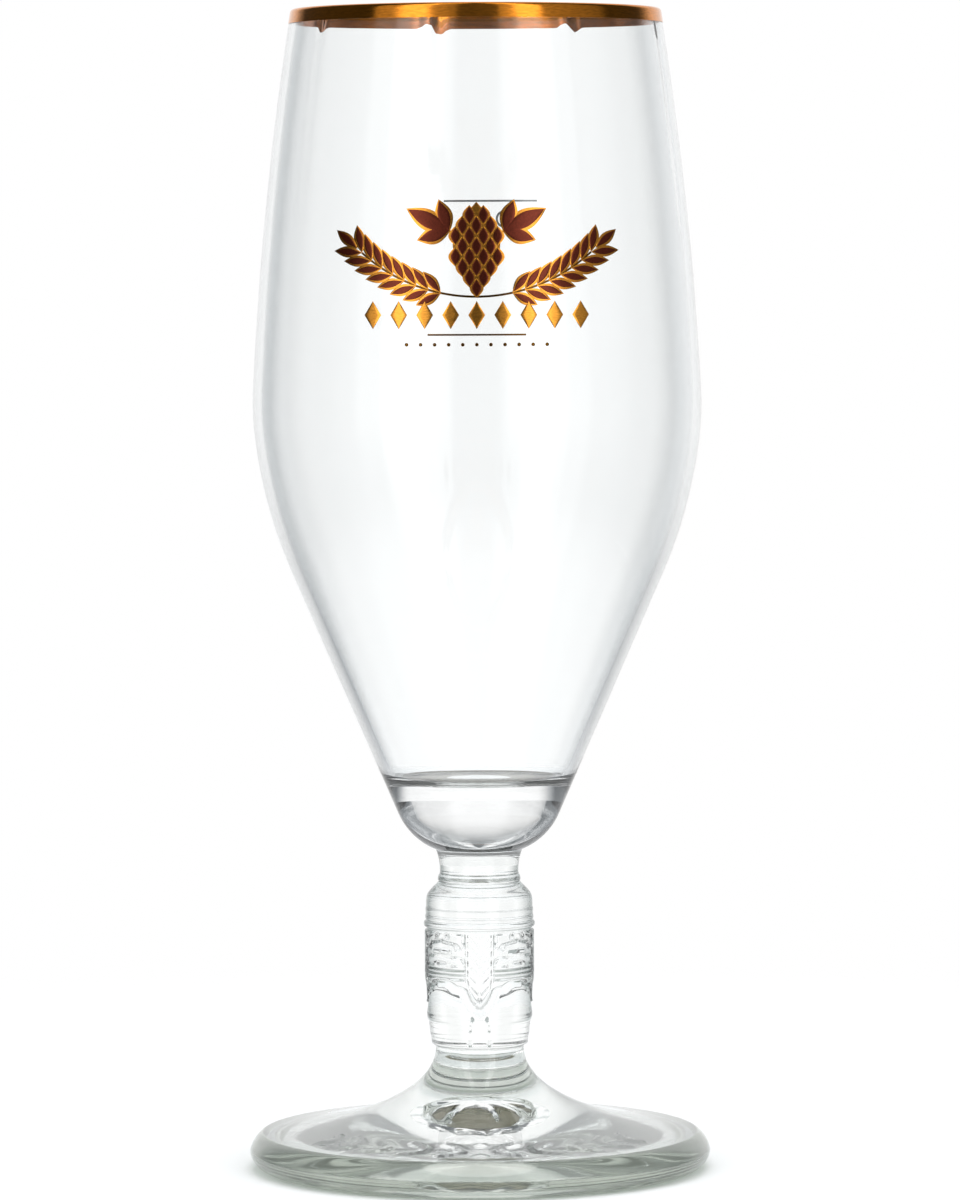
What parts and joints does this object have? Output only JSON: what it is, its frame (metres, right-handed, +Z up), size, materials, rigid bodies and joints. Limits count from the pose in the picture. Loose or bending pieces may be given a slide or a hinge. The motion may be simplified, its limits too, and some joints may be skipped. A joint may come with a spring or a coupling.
{
  "type": "stemmed beer glass",
  "caption": "Tulip-shaped chalice beer glass with a solid bulb, a short pressed stem with collars and arched panels, a flared foot, a gold lip and a fired front print.",
  "frame": {"origin": "centre of the ring that the foot rests on", "axes": "+Z up along the glass's axis; the front print faces -Y, and the capacity mark is on the back wall"},
  "size_m": [0.0784, 0.0784, 0.1967],
  "materials": {
    "bowl_glass": "clear, fire-polished, blown",
    "stem_glass": "clear, fire-polished, pressed",
    "foot_glass": "clear, fire-polished, pressed",
    "rim_gold": "bright fired gold",
    "brown_enamel": "dark brown glossy fired enamel",
    "print_gold": "fired gold, satin",
    "grey_enamel": "thin grey fired enamel"
  },
  "bodies": {
    "root": {"bowl": "bowl_glass", "stem": "stem_glass", "foot": "foot_glass", "rim_band": "rim_gold", "front_print_dark": "brown_enamel", "front_print_gold": "print_gold", "fill_mark": "grey_enamel"}
  },
  "joints": []
}
